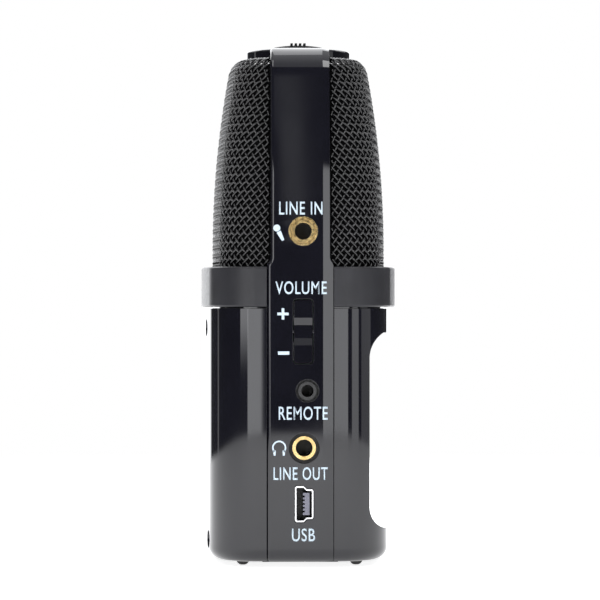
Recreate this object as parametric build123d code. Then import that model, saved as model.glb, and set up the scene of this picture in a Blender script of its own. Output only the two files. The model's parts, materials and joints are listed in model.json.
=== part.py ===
from build123d import *
import math
import os

# Handheld five-capsule voice recorder, in millimetres.
# +Z is up, -Y is the display side, +Y is the speaker and battery side, -X is the jack side.
# The origin lies at the middle of the footprint, on the plane that the feet rest on.

# ---- driving dimensions -------------------------------------------------------------------------
half_width = 33.8           # outer faces of the two spines
rear_depth = 21.2           # middle of the body's back
front_depth = 20.6          # lip above the display recess
base_z = 1.3                # underside of the body
floor_z = 2.9               # top of the body's floor
body_top_z = 55.2
band_low_z = 55.5
band_top_z = 64.1
band_depth = 21.4
band_rounding = 0.45
strap_top_z = 111.3         # flat top of the spines
wall = 2.2                  # body wall and spine thickness
side_crown = 1.6            # how far a side bulges past its corners
face_crown = 3.4            # the same for the front and the back
corner_radius = 11.0
slip = 0.1                  # clearance beside a part that only touches
running = 0.05              # clearance round a turning pin
beyond = 40.0               # cutting blocks reach this far, past every outer face
overrun = 1.0               # how far a cutter passes the face it opens
board_thickness = 1.2

spine_half_low = 7.05       # half the spine's width below the band's top
spine_half_high = 6.3       # and above it
spine_neck_height = 2.0     # the change of width takes this height
spine_neck_bow = 0.1        # how far its two arcs bow out
spine_bend_start = 64.0     # the spine leans inwards from here
spine_bend_radius = 172.0
spine_shoulder = 6.0
foot_rounding = 2.8         # round edge at the body's underside
back_rounding = 0.7         # of a spine's outer edge on the speaker side
bevel_width = 2.2           # shallow bevel on the display side
bevel_drop = 0.45

grille_base_z = 61.6
grille_top_z = 110.2        # where the grille meets the round plate
grille_shoulder_z = 109.2   # upper end of the grille's tight shoulder
grille_depth = 19.05
grille_inset_x = 1.1        # how far the grille sits inside the spine's outer face
grille_bend_start = 68.0    # the grille's front and back lean inwards from here
grille_bend_radius = 217.5
grille_side_crown = 1.2
grille_face_crown = 2.6
grille_corner = 9.0
grille_top_corner = 7.5
grille_shoulder_in = 1.4    # how far the shoulder turns in
grille_shoulder_up = 1.9    # and the height it takes
mesh_thickness = 0.9
foam_inset = 1.2            # from the grille's outer face to the foam
foam_thickness = 1.2
foam_edge_y = 4.2           # the foam tucks in behind the spines this far

recess_y = -14.8            # display plane
brow_radius = 6.25          # cove under the lip
brow_turn = 60.0            # the angle it turns through
foot_cove_radius = 4.85     # cove above the chin
foot_cove_turn = 68.0
recess_low_z = 12.8
lip_z = 50.0                # underside of the lip
recess_high_z = lip_z - brow_radius * math.sin(math.radians(brow_turn))
chin_y = -19.9
chin_low_z = 2.8
chin_top_z = 7.9

cavity_front_y = -12.6      # inside of the display wall
chin_inner_y = -13.9        # inside of the wall behind the chin
plate_radius = 11.6         # round top plate
plate_low_z = 110.25
plate_top_z = 112.1
switch_window_radius = 8.0  # opening in the spines' tops for the switch below the dial


# ---- small helpers --------------------------------------------------------------------------------
def block(x0, x1, y0, y1, z0, z1):
    """A box between two corners."""
    return Pos((x0 + x1) / 2, (y0 + y1) / 2, (z0 + z1) / 2) * Box(x1 - x0, y1 - y0, z1 - z0)


def rod_x(radius, x0, x1, y, z):
    return Pos((x0 + x1) / 2, y, z) * Rot(0, 90, 0) * Cylinder(radius, x1 - x0)


def rod_y(radius, y0, y1, x, z):
    return Pos(x, (y0 + y1) / 2, z) * Rot(90, 0, 0) * Cylinder(radius, y1 - y0)


def rod_z(radius, z0, z1, x, y):
    return Pos(x, y, (z0 + z1) / 2) * Cylinder(radius, z1 - z0)


def crowned_outline(half_x, half_y, crown_x, crown_y, corner):
    """Plan outline with four bulging sides and round corners."""
    x = half_x - crown_x
    y = half_y - crown_y
    edges = [
        ThreePointArc((-x, y), (0, half_y), (x, y)).edge(),
        ThreePointArc((x, y), (half_x, 0), (x, -y)).edge(),
        ThreePointArc((x, -y), (0, -half_y), (-x, -y)).edge(),
        ThreePointArc((-x, -y), (-half_x, 0), (-x, y)).edge(),
    ]
    outline = Face(Wire(edges))
    return outline.fillet_2d(corner, outline.vertices())


def prism(outline, z0, z1):
    """A plan outline pulled up between two heights."""
    return Solid.extrude(outline.translate(Vector(0, 0, z0)), Vector(0, 0, z1 - z0))


def body_outline(depth, inset):
    return crowned_outline(half_width - inset, depth - inset, side_crown, face_crown, corner_radius - inset)


def lean(z, start, radius):
    """How far an arc that starts upright at one height has come in at another."""
    rise = max(0.0, z - start)
    return radius - math.sqrt(radius ** 2 - rise ** 2)


def arc_xz(start, middle, end):
    points = [(x, 0, z) for x, z in (start, middle, end)]
    return ThreePointArc(*points).edge()


def line_xz(start, end):
    return Line((start[0], 0, start[1]), (end[0], 0, end[1])).edge()


def write(node, shape):
    os.makedirs("parts", exist_ok=True)
    solids = shape.solids()
    solid = solids[0] if len(solids) == 1 else Compound(children=solids)
    solid.label = node
    export_step(solid, f"parts/{node}.step")


# ---- spines -----------------------------------------------------------------------------------------
def spine_x(z):
    """Outer face of the spine at a height, before the shoulder."""
    return half_width - lean(z, spine_bend_start, spine_bend_radius)


def side_outline(inset, low_z, foot=0.0):
    """Front view outline of one spine and all that lies inside it; the foot's corner may be rounded."""
    top = strap_top_z - inset
    middle_z = (spine_bend_start + top) / 2
    right = [
        line_xz((0, low_z), (half_width - inset, low_z)),
        line_xz((half_width - inset, low_z), (half_width - inset, spine_bend_start)),
        arc_xz((half_width - inset, spine_bend_start), (spine_x(middle_z) - inset, middle_z),
               (spine_x(top) - inset, top)),
        line_xz((spine_x(top) - inset, top), (0, top)),
        line_xz((0, top), (0, low_z)),
    ]
    outline = Face(Wire(right))
    shoulder = [v for v in outline.vertices() if v.X > 1 and v.Z > strap_top_z - inset - 1]
    outline = outline.fillet_2d(spine_shoulder - inset / 2, shoulder)
    if not foot:
        return outline
    corner = [v for v in outline.vertices() if v.X > 1 and v.Z < low_z + 0.01]
    return outline.fillet_2d(foot, corner)


def across(outline, y0, y1):
    """A front view outline pulled along Y between two places."""
    return Solid.extrude(outline.translate(Vector(0, y0, 0)), Vector(0, y1 - y0, 0))


def strap_body():
    """One spine's half of the strap, solid inside, with a broad shallow bevel on the display side."""
    far = spine_half_low + 1
    start = bevel_width - spine_half_low
    drop = bevel_drop * (far + start) / bevel_width
    square = side_outline(0, base_z, foot_rounding)
    reduced = side_outline(drop, base_z, foot_rounding)
    rims = [square.translate(Vector(0, start, 0)), reduced.translate(Vector(0, -far, 0))]
    bevel = Solid.make_loft([rim.outer_wire() for rim in rims], True)
    return across(square, start, far) + bevel


def spine_width_outline():
    """Side view outline of a spine, with the neck above the band."""
    neck_low = band_top_z
    quarter = spine_neck_height / 4
    top = strap_top_z + overrun
    half_mid = (spine_half_low + spine_half_high) / 2
    edges = []
    for side in (1, -1):
        foot = (0, side * spine_half_low, base_z)
        low = (0, side * spine_half_low, neck_low)
        low_bow = (0, side * (spine_half_low - spine_neck_bow), neck_low + quarter)
        middle = (0, side * half_mid, neck_low + 2 * quarter)
        high_bow = (0, side * (spine_half_high + spine_neck_bow), neck_low + 3 * quarter)
        high = (0, side * spine_half_high, neck_low + 4 * quarter)
        edges += [
            Line(foot, low).edge(),
            ThreePointArc(low, low_bow, middle).edge(),
            ThreePointArc(middle, high_bow, high).edge(),
            Line(high, (0, side * spine_half_high, top)).edge(),
        ]
    edges.append(Line((0, spine_half_low, base_z), (0, -spine_half_low, base_z)).edge())
    edges.append(Line((0, spine_half_high, top), (0, -spine_half_high, top)).edge())
    return Face(Wire.combine(edges)[0])


def spine_blank():
    """One spine on the +X side, with no openings."""
    inside = side_outline(wall, base_z - overrun)
    strap = strap_body() - across(inside, -spine_half_low - 2 * overrun, spine_half_low + 2 * overrun)
    strap = strap & Solid.extrude(spine_width_outline(), Vector(half_width + overrun, 0, 0))
    outer_edges = [
        edge for edge in strap.edges()
        if abs(edge.center().Y - (spine_half_low + spine_half_high) / 2) < 0.5
        and edge.center().X > wall and on_outer_face(edge)
    ]
    strap = strap.fillet(back_rounding, outer_edges)
    strap -= rod_z(plate_radius + slip, plate_low_z - running, strap_top_z + overrun, 0, 0)
    return strap - rod_z(switch_window_radius, strap_top_z - 2 * wall, strap_top_z + overrun, 0, 0)


def on_outer_face(edge):
    """True for an edge whose middle lies on the spine's outer face."""
    middle = edge.position_at(0.5)
    if edge.length < 0.5 or middle.Z < base_z + 0.5:
        return False
    if middle.Z > strap_top_z - 0.2:
        return True
    if middle.Z > strap_top_z - spine_shoulder - 1:
        return middle.X > spine_x(middle.Z) - 1.9
    return middle.X > spine_x(middle.Z) - 0.3


# ---- left side: jacks ----------------------------------------------------------------------------
line_in_y = -0.6
line_in_z = 71.6
line_out_y = -0.8
line_out_z = 25.6
remote_y = -1.5
remote_z = 37.7
usb_y = -0.8
usb_z = 13.7
usb_half_y = 1.95           # outside of the data port's folded mouth
usb_wide = 3.8
usb_narrow = 3.15
plug_radius = 1.8           # hole for a 3.5 mm plug
remote_plug_radius = 1.3    # hole for a 2.5 mm plug
line_in_ring = 3.1
groove_outer = 2.75         # groove in the input bushing's face
groove_inner = 2.4
groove_depth = 0.8
line_out_ring = 2.5
line_out_recess = 3.28
remote_ring = 1.95
remote_recess = 2.45
jack_depth = 9.0            # length of a jack's body behind the spine
jack_half_y = 3.2
jack_half_z = 3.6
jack_end = 1.0              # wall behind the blind hole
jack_seat = 0.6             # how deep a bushing sits in its jack
remote_half_y = 2.6
remote_half_z = 3.0
usb_depth = 7.5
usb_wall = 0.3
usb_contact_pitch = 0.8
tongue_half_z = 2.35
contact_half_z = 0.2

rocker_y = -0.6
rocker_z = 50.3
rocker_half_y = 2.0
rocker_half_z = 6.75
rocker_pivot_x = -32.5
rocker_pin = 0.45
rocker_pin_half = 2.8       # half the pin's length
rocker_dip = 0.5            # depth of the sunken middle
rocker_dip_half = 1.4       # half the height of its flat
rocker_ramp_half = 3.2      # and half the height up to the ends of its ramps
rocker_switch_z = 4.2       # the two switches sit this far from the pivot
left_face = -half_width
left_inner = -half_width + wall
jack_front = left_inner + 0.05
line_in_front = left_inner + 0.45   # the spine already leans inwards here
jack_board_x = jack_front + jack_depth
board_half_y = 7.8          # of the two upright boards behind the spines


def usb_mouth(grow):
    """Stepped outline of the data port, wide towards +Y, pulled along X."""
    points = [
        (usb_y + usb_half_y + grow, usb_z - usb_wide - grow),
        (usb_y + usb_half_y + grow, usb_z + usb_wide + grow),
        (usb_y + 0.1, usb_z + usb_wide + grow),
        (usb_y - 0.5, usb_z + usb_narrow + grow),
        (usb_y - usb_half_y - grow, usb_z + usb_narrow + grow),
        (usb_y - usb_half_y - grow, usb_z - usb_narrow - grow),
        (usb_y - 0.5, usb_z - usb_narrow - grow),
        (usb_y + 0.1, usb_z - usb_wide - grow),
    ]
    ring = [(0, y, z) for y, z in points]
    edges = [Line(a, b).edge() for a, b in zip(ring, ring[1:] + ring[:1])]
    mouth = Face(Wire(edges))
    return mouth.fillet_2d(0.5 + grow, mouth.vertices())


def usb_prism(grow, x0, x1):
    return Solid.extrude(usb_mouth(grow).translate(Vector(x0, 0, 0)), Vector(x1 - x0, 0, 0))


def rounded_slot_x(half_y, half_z, radius, x0, x1, y, z):
    """A round-cornered block along X."""
    solid = block(x0, x1, y - half_y, y + half_y, z - half_z, z + half_z)
    return fillet(solid.edges().filter_by(Axis.X), radius)


def left_spine():
    spine = spine_blank().mirror(Plane.YZ)
    through = (left_face - overrun, left_inner + overrun)
    spine -= rod_x(line_in_ring + running, *through, line_in_y, line_in_z)
    spine -= rod_x(line_out_recess, *through, line_out_y, line_out_z)
    spine -= rod_x(remote_recess, *through, remote_y, remote_z)
    spine -= rounded_slot_x(rocker_half_y + 2 * slip, rocker_half_z + 2 * slip, 0.9, *through,
                            rocker_y, rocker_z)
    pin_reach = rocker_pin_half + 2 * slip
    spine -= rod_y(rocker_pin + running, rocker_y - pin_reach, rocker_y + pin_reach,
                   rocker_pivot_x, rocker_z)
    return spine - usb_prism(1.5 * slip, *through)


def jack(y, z, ring, hole, front):
    """Moulded body of a round jack, with the blind hole a plug enters."""
    back = front + jack_depth
    body = block(front, back, y - jack_half_y, y + jack_half_y, z - jack_half_z, z + jack_half_z)
    body -= rod_x(hole, front - overrun, back - jack_end, y, z)
    return body - rod_x(ring, front - overrun, front + jack_seat, y, z)


def bushing(y, z, ring, hole, face, front):
    """Metal sleeve in the mouth of a jack."""
    return rod_x(ring, face, front + jack_seat, y, z) - rod_x(hole, face - overrun, front + overrun, y, z)


def line_in_jack():
    return jack(line_in_y, line_in_z, line_in_ring, plug_radius, line_in_front)


def line_in_bushing():
    """Double ring: a groove parts the rim from the inner sleeve."""
    face = left_face + 0.15
    sleeve = bushing(line_in_y, line_in_z, line_in_ring, plug_radius, face, line_in_front)
    groove = rod_x(groove_outer, face - overrun, face + groove_depth, line_in_y, line_in_z)
    groove -= rod_x(groove_inner, face - 2 * overrun, face + 2 * overrun, line_in_y, line_in_z)
    return sleeve - groove


def line_out_jack():
    return jack(line_out_y, line_out_z, line_out_ring, plug_radius, jack_front)


def line_out_bushing():
    return bushing(line_out_y, line_out_z, line_out_ring, plug_radius, left_face + 0.5, jack_front)


def remote_jack():
    back = jack_front + jack_depth
    body = block(jack_front, back, remote_y - remote_half_y, remote_y + remote_half_y,
                 remote_z - remote_half_z, remote_z + remote_half_z)
    body += rod_x(remote_ring, left_face + 0.7, jack_front + overrun, remote_y, remote_z)
    return body - rod_x(remote_plug_radius, left_face, back - jack_end, remote_y, remote_z)


def usb_port():
    """Folded metal mouth with a flat tongue inside."""
    mouth = left_face + 0.3
    back = mouth + usb_depth
    port = usb_prism(0, mouth, back)
    port -= usb_prism(-usb_wall, left_face, back - 0.8)
    tongue = block(left_face + 1.0, back - 0.4, usb_y - 1.15, usb_y + 0.25,
                   usb_z - tongue_half_z, usb_z + tongue_half_z)
    for index in range(5):
        z = usb_z + (index - 2) * usb_contact_pitch
        tongue -= block(left_face, back - 2.3, usb_y - 0.15, usb_y + overrun,
                        z - contact_half_z, z + contact_half_z)
    return port + tongue


def volume_rocker():
    """Rocking pad with a sunken middle, on its own pin."""
    face = left_face + 0.35
    pad = rounded_slot_x(rocker_half_y, rocker_half_z, 0.8, face, left_inner - 0.2, rocker_y, rocker_z)
    ramp = [
        (face - overrun, rocker_ramp_half),
        (face - 0.1, rocker_ramp_half),
        (face + rocker_dip, rocker_dip_half),
    ]
    ring = [(x, -z) for x, z in ramp] + ramp[::-1]
    far = 2 * rocker_half_y
    outline = Face(Wire.make_polygon([(x, rocker_y - far, rocker_z + z) for x, z in ring]))
    pad -= Solid.extrude(outline, Vector(0, 2 * far, 0))
    return pad + rod_y(rocker_pin, rocker_y - rocker_pin_half, rocker_y + rocker_pin_half,
                       rocker_pivot_x, rocker_z)


def tact_switch_x(tip_x, back_x, y, z):
    """Small push switch that points along X from its board to its tip."""
    half = 2.0
    stem_length = 0.8
    stem_radius = 0.9
    sign = 1 if tip_x > back_x else -1
    body_x = sorted((back_x, tip_x - sign * stem_length))
    stem_x = sorted((tip_x, tip_x - sign * (stem_length + 0.2)))
    return block(*body_x, y - half, y + half, z - half, z + half) + rod_x(stem_radius, *stem_x, y, z)


def volume_switches():
    tip = left_inner + 0.35
    return Compound(children=[
        tact_switch_x(tip, jack_board_x, rocker_y, rocker_z + side * rocker_switch_z) for side in (1, -1)
    ])


def jack_board():
    return block(jack_board_x, jack_board_x + board_thickness, -board_half_y, board_half_y, 8.5, 60.5)


# ---- right side: controls ------------------------------------------------------------------------
right_face = half_width
right_inner = half_width - wall
control_board_x = 22.0
gain_z = 71.0
gain_radius = 8.4
gain_half_y = 2.0
gain_proud = 1.0
gain_x = half_width + gain_proud - gain_radius
gain_axle = 1.5
menu_z = 57.3
menu_half_y = 2.7
menu_half_z = 2.0
play_z = 47.6
play_half_y = 2.9
play_half_z = 3.6
play_dish_radius = 16.0     # finger hollow across the play cap
play_stem_radius = 1.0
power_z = 38.0
power_half_y = 1.45
power_half_z = 2.1
power_travel = 1.6          # each way from the middle
card_y = -2.6
card_low_z = 8.0
card_length = 32.0
card_width = 24.0
card_thickness = 2.1
card_cover_half_y = 2.6
card_cover_low = 6.4
card_cover_high = 33.0
card_hinge_z = 7.4
card_hinge_x = half_width - 0.95
card_pin = 0.5
card_pin_half = card_cover_half_y + 1.3
card_corner = 3.5           # the clipped corner
gain_gap = 0.25             # clearance round the gain wheel


def right_spine():
    through = (right_inner - overrun, right_face + overrun)
    half = card_cover_half_y + slip
    spine = spine_blank()
    spine -= rod_y(gain_radius + gain_gap, -gain_half_y - gain_gap, gain_half_y + gain_gap, gain_x, gain_z)
    spine -= rounded_slot_x(menu_half_y + slip, menu_half_z + slip, 0.6, *through, 0, menu_z)
    spine -= rounded_slot_x(play_half_y + 1.5 * slip, play_half_z + 2 * slip, 0.6, *through, 0, play_z)
    spine -= rounded_slot_x(power_half_y + 1.5 * slip, power_half_z + power_travel + 2 * slip, 0.5,
                            *through, 0, power_z)
    spine -= block(*through, card_y - half, card_y + half, card_cover_low - 0.25, card_cover_high + slip)
    reach = card_pin_half + slip
    return spine - rod_y(card_pin + running, card_y - reach, card_y + reach, card_hinge_x, card_hinge_z)


def gain_wheel():
    """Thumbwheel with a fluted rim, on its own axle."""
    wheel = rod_y(gain_radius, -gain_half_y, gain_half_y, gain_x, gain_z)
    flutes = 36
    flute_radius = 0.4
    flute_circle = gain_radius + 0.15
    for index in range(flutes):
        angle = 2 * math.pi * index / flutes
        x = gain_x + flute_circle * math.cos(angle)
        z = gain_z + flute_circle * math.sin(angle)
        wheel -= rod_y(flute_radius, -gain_half_y - overrun, gain_half_y + overrun, x, z)
    return wheel + rod_y(gain_axle, gain_half_y - 0.5, gain_half_y + 3.2, gain_x, gain_z)


def gain_potentiometer():
    near = gain_half_y + 0.6
    depth = 3.4
    body = block(gain_x - 5, gain_x + 3, near, near + depth, gain_z - 6.5, gain_z + 5)
    return body - rod_y(gain_axle + running, near - overrun, near + depth - 0.5, gain_x, gain_z)


def menu_button():
    """Push cap with a retaining rim behind the spine."""
    rim = 0.6
    cap = rounded_slot_x(menu_half_y, menu_half_z, 0.5, right_inner - rim, right_face + 0.6, 0, menu_z)
    return cap + block(right_inner - 2 * rim, right_inner - rim + 0.05,
                       -menu_half_y - rim, menu_half_y + rim,
                       menu_z - menu_half_z - rim, menu_z + menu_half_z + rim)


def menu_switch():
    return tact_switch_x(right_inner - 1.8, control_board_x + board_thickness, 0, menu_z)


def play_switch():
    """Rocking cap, on a ball end so that it also presses in."""
    cap = rounded_slot_x(play_half_y, play_half_z, 0.6, right_inner - 0.2, right_face + 0.5, 0, play_z)
    cap -= rod_y(play_dish_radius, -play_half_y - overrun, play_half_y + overrun,
                 right_face + 0.1 + play_dish_radius, play_z)
    return cap + block(right_inner - 1.2, right_inner - 0.1, -1.5, 1.5, play_z - 1.2, play_z + 1.2)


def play_stem():
    half = 1.4
    fork = block(right_inner - 5.0, right_inner - 1.5, -half, half, play_z - half, play_z + half)
    return fork + rod_x(play_stem_radius, control_board_x + 3.5, right_inner - 4.9, 0, play_z)


def play_encoder():
    half = 3.2
    near = control_board_x + 4.0
    body = block(control_board_x + board_thickness, near, -half, half, play_z - half, play_z + half)
    return body - rod_x(play_stem_radius + running, near - 1.4, near + overrun, 0, play_z)


def power_slider():
    """Grooved knob on a plate that covers its slot from inside."""
    knob = rounded_slot_x(power_half_y, power_half_z, 0.4, right_inner - 0.4, right_face + 0.5, 0, power_z)
    grooves = 4
    pitch = 0.8
    groove_half = 0.15
    for index in range(grooves):
        z = power_z + (index - (grooves - 1) / 2) * pitch
        knob -= block(right_face + 0.25, right_face + overrun,
                      -power_half_y - overrun, power_half_y + overrun,
                      z - groove_half, z + groove_half)
    return knob + block(right_inner - 0.9, right_inner - 0.15, -2.6, 2.6, power_z - 4.0, power_z + 4.0)


def power_switch():
    near = control_board_x + board_thickness
    return block(near, right_inner - 1.3, -2.2, 2.2, power_z - 3.6, power_z + 3.6)


def control_board():
    far = control_board_x + board_thickness
    return block(control_board_x, far, -board_half_y, board_half_y, 34.2, 60.8)


def card_cover():
    """Flap over the card slot, turning on a pin near its lower end."""
    half = card_cover_half_y
    flap = block(right_inner + 0.5, right_face, card_y - half, card_y + half,
                 card_cover_low, card_cover_high)
    heel = [edge for edge in flap.edges().filter_by(Axis.Y) if edge.center().Z < card_hinge_z]
    flap = fillet(heel, 0.7)
    reach = half + overrun
    return flap - rod_y(card_pin + running, card_y - reach, card_y + reach, card_hinge_x, card_hinge_z)


def card_hinge_pin():
    return rod_y(card_pin, card_y - card_pin_half, card_y + card_pin_half, card_hinge_x, card_hinge_z)


def memory_card():
    """Flat card with one clipped corner."""
    near = right_inner - 0.6
    half = card_thickness / 2
    card = block(near - card_length, near, card_y - half, card_y + half,
                 card_low_z, card_low_z + card_width)
    corner = [
        edge for edge in card.edges().filter_by(Axis.Y)
        if edge.center().X < near - 1 and edge.center().Z > card_low_z + 1
    ]
    return chamfer(corner, card_corner)


def card_socket():
    """Five-sided sleeve that the card slides into."""
    near = 24.0
    back = right_inner - 0.6 - card_length - 0.8
    sleeve = 0.6
    inner = card_thickness / 2 + running
    outer = inner + sleeve + running
    high = card_low_z + card_width
    return (block(back, near, card_y - outer, card_y + outer, card_low_z - sleeve, high + sleeve)
            - block(back + sleeve, near + overrun, card_y - inner, card_y + inner,
                    card_low_z - running, high + running))


# ---- body halves --------------------------------------------------------------------------------
def body_blank(depth):
    blank = prism(body_outline(depth, 0), base_z, body_top_z)
    low_edges = [edge for edge in blank.edges() if edge.center().Z < base_z + 0.01]
    return blank.fillet(foot_rounding, low_edges)


floor_split_y = -1.0        # the two floors meet here
flange_near_y = 5.0
flange_far_y = 9.5
flange_thickness = 1.3
tongue_thickness = 1.0      # of the rim that stands up inside the collar


def flange(depth, side):
    """Inner lip that the spines lie against."""
    lip = prism(body_outline(depth, wall + slip), floor_z - 0.5, body_top_z)
    lip -= prism(body_outline(depth, wall + slip + flange_thickness), base_z, body_top_z + overrun)
    low, high = sorted((side * flange_near_y, side * flange_far_y))
    return lip & block(-beyond, beyond, low, high, 0, body_top_z + overrun)


def rim_tongue(depth, side):
    """Tongue on top of a half's wall that stands up inside the collar."""
    hollow = prism(grille_outline(grille_base_z, slip + tongue_thickness), body_top_z - 2, band_top_z)
    tongue = prism(body_outline(depth, wall / 2), body_top_z - 1, body_top_z)
    tongue += prism(grille_outline(grille_base_z, slip), body_top_z - slip, band_low_z + 1)
    low, high = sorted((side * (spine_half_low + slip), side * beyond))
    speaker_room = block(-8, 8, 0, 18.8, body_top_z - 2, band_top_z)
    return (tongue - hollow - speaker_room) & block(-beyond, beyond, low, high, 0, band_top_z)


def floor_lip(side):
    """Stretch of floor between the spines."""
    low, high = sorted((floor_split_y + side * slip / 2, side * (spine_half_low + 1)))
    return block(left_inner + slip, right_inner - slip, low, high, base_z, floor_z)


def cove(radius, turn, z, way):
    """Middle and end of an arc that leaves the display plane at a height, up or down."""
    points = []
    for angle in (math.radians(turn / 2), math.radians(turn)):
        points.append((0, recess_y - radius * (1 - math.cos(angle)), z + way * radius * math.sin(angle)))
    return points


def recess_cutter():
    """Side view outline of the display recess, pulled across the body."""
    outer = -front_depth - 3 * overrun
    chin_rounding = 0.8
    sole_rounding = 1.5
    far = 1 - math.sqrt(0.5)    # from a corner to the middle of its unit arc, along each side
    brow_middle, brow_end = cove(brow_radius, brow_turn, recess_high_z, 1)
    foot_middle, foot_end = cove(foot_cove_radius, foot_cove_turn, recess_low_z, -1)
    top = (0, recess_y, recess_high_z)
    foot = (0, recess_y, recess_low_z)
    chin = (0, chin_y + chin_rounding, chin_top_z)
    chin_arc = (0, chin_y + far * chin_rounding, chin_top_z - far * chin_rounding)
    chin_face = (0, chin_y, chin_top_z - chin_rounding)
    chin_low = (0, chin_y, chin_low_z)
    sole_arc = (0, chin_y + far * sole_rounding, base_z + far * sole_rounding)
    sole = (0, chin_y + sole_rounding, base_z)
    under = (0, chin_y + sole_rounding, 0)
    edges = [
        Line((0, outer, lip_z), brow_end).edge(),
        ThreePointArc(brow_end, brow_middle, top).edge(),
        Line(top, foot).edge(),
        ThreePointArc(foot, foot_middle, foot_end).edge(),
        Line(foot_end, chin).edge(),
        ThreePointArc(chin, chin_arc, chin_face).edge(),
        Line(chin_face, chin_low).edge(),
        ThreePointArc(chin_low, sole_arc, sole).edge(),
        Line(sole, under).edge(),
        Line(under, (0, outer, 0)).edge(),
        Line((0, outer, 0), (0, outer, lip_z)).edge(),
    ]
    face = Face(Wire(edges))
    return Solid.extrude(face.translate(Vector(-beyond, 0, 0)), Vector(2 * beyond, 0, 0))


window_half_x = 19.0
window_low_z = 17.0
window_high_z = 42.6
window_thickness = 1.2
window_ledge = 1.5          # the window rests on this much of the wall all round
rec_half_x = 7.5
rec_half_z = 2.1
rec_z = 5.2
light_x = 12.5
light_z = 14.4
boss_radius = 2.4
boss_meet_y = 3.0           # the front and rear screw bosses meet here
pilot_low_y = -9.0          # bottom of the screws' pilot holes
pilot_radius = 0.9
screw_head_y = 14.8
screw_head_radius = 1.7
screw_head_height = 1.2
screw_shank_radius = 0.85
light_radius = 0.8
tripod_y = -5.9
tripod_radius = 3.2
tripod_wall = 1.2
dc_x = -15.0
dc_y = -4.4
dc_radius = 2.75
screw_spots = [(-22.0, 5.5), (27.0, 5.5), (-18.7, 51.0), (18.7, 51.0)]


def pill_y(half_x, half_z, y0, y1, x, z):
    """A round-ended block along Y."""
    solid = block(x - half_x, x + half_x, y0, y1, z - half_z, z + half_z)
    return fillet(solid.edges().filter_by(Axis.Y), half_z - 0.05)


def window_opening():
    """Recess for the display window, and the smaller opening behind it."""
    half = window_half_x + slip
    seat = block(-half, half, recess_y - overrun, recess_y + window_thickness,
                 window_low_z - slip, window_high_z + slip)
    half = window_half_x - window_ledge
    return seat + block(-half, half, recess_y, cavity_front_y + overrun,
                        window_low_z + window_ledge, window_high_z - window_ledge)


def rec_opening():
    """Mouth of the record button, the way in for its stem, and a pocket for its switch."""
    mouth_y = chin_y + 3.2
    opening = pill_y(rec_half_x + slip, rec_half_z + slip, chin_y - overrun, mouth_y, 0, rec_z)
    opening += block(-3, 3, mouth_y - slip, chin_inner_y + slip, rec_z - 2.1, rec_z + 2.1)
    return opening + block(-3.4, 3.4, chin_inner_y, cavity_front_y + overrun, floor_z, rec_z + 3.4)


def front_shell():
    body = body_blank(front_depth)
    cavity = prism(body_outline(front_depth, wall), floor_z, body_top_z + overrun)
    cavity = cavity & block(-beyond, beyond, cavity_front_y, overrun, 0, body_top_z + overrun)
    body = body - cavity - recess_cutter()
    shell = body & block(-beyond, beyond, -beyond, -spine_half_low - slip, 0, body_top_z)
    shell = shell + flange(front_depth, -1) + floor_lip(-1) + rim_tongue(front_depth, -1)
    shell -= window_opening()
    shell -= rec_opening()
    shell -= rod_y(light_radius + slip, recess_y - overrun, cavity_front_y + overrun, light_x, light_z)
    through = (base_z - overrun, floor_z + overrun)
    shell -= rod_z(tripod_radius + tripod_wall + slip / 2, *through, 0, tripod_y)
    shell -= rod_z(dc_radius, *through, dc_x, dc_y)
    limit = prism(body_outline(front_depth, wall / 2), base_z, body_top_z)
    for x, z in screw_spots:
        shell += rod_y(boss_radius, cavity_front_y - slip, boss_meet_y, x, z) & limit
        shell -= rod_y(pilot_radius, pilot_low_y, boss_meet_y + overrun, x, z)
    return shell - foot_sockets()


battery_y = 8.1
battery_x = 7.5
battery_radius = 7.2
battery_low_z = 4.7
battery_length = 50.4
opening_half_x = 18.0
opening_high_z = 43.2
opening_y = 16.5
cover_pivot_y = 19.0
cover_pivot_z = 3.4
cover_pin = 0.6
cover_pin_half = opening_half_x + 1.2
slot_pitch = 1.87
slot_half_z = 0.48
slot_half_x = 6.5
slot_middle_z = 48.83


def speaker_slots():
    """Row of level slots through the back wall in front of the speaker."""
    slots = 4
    made = []
    for index in range(slots):
        z = slot_middle_z + (index - (slots - 1) / 2) * slot_pitch
        made.append(block(-slot_half_x, slot_half_x, 15, beyond, z - slot_half_z, z + slot_half_z))
    return Compound(children=made)


def rear_shell():
    body = body_blank(rear_depth) - prism(body_outline(rear_depth, wall), floor_z, body_top_z + overrun)
    shell = body & block(-beyond, beyond, spine_half_low + slip, beyond, 0, body_top_z)
    shell = shell + flange(rear_depth, 1) + floor_lip(1) + rim_tongue(rear_depth, 1)
    shell -= block(-opening_half_x, opening_half_x, opening_y, beyond, 0, opening_high_z)
    shell -= speaker_slots()
    limit = prism(body_outline(rear_depth, wall / 2), base_z, body_top_z)
    for x, z in screw_spots:
        shell += rod_y(boss_radius, boss_meet_y + slip, rear_depth, x, z) & limit
        shell -= rod_y(screw_shank_radius + 1.5 * slip, boss_meet_y - overrun, rear_depth, x, z)
        shell -= rod_y(screw_head_radius + 2 * slip, screw_head_y, rear_depth + overrun, x, z)
    reach = cover_pin_half + slip
    shell -= rod_x(cover_pin + running, -reach, reach, cover_pivot_y, cover_pivot_z)
    return shell - foot_sockets()


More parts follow.
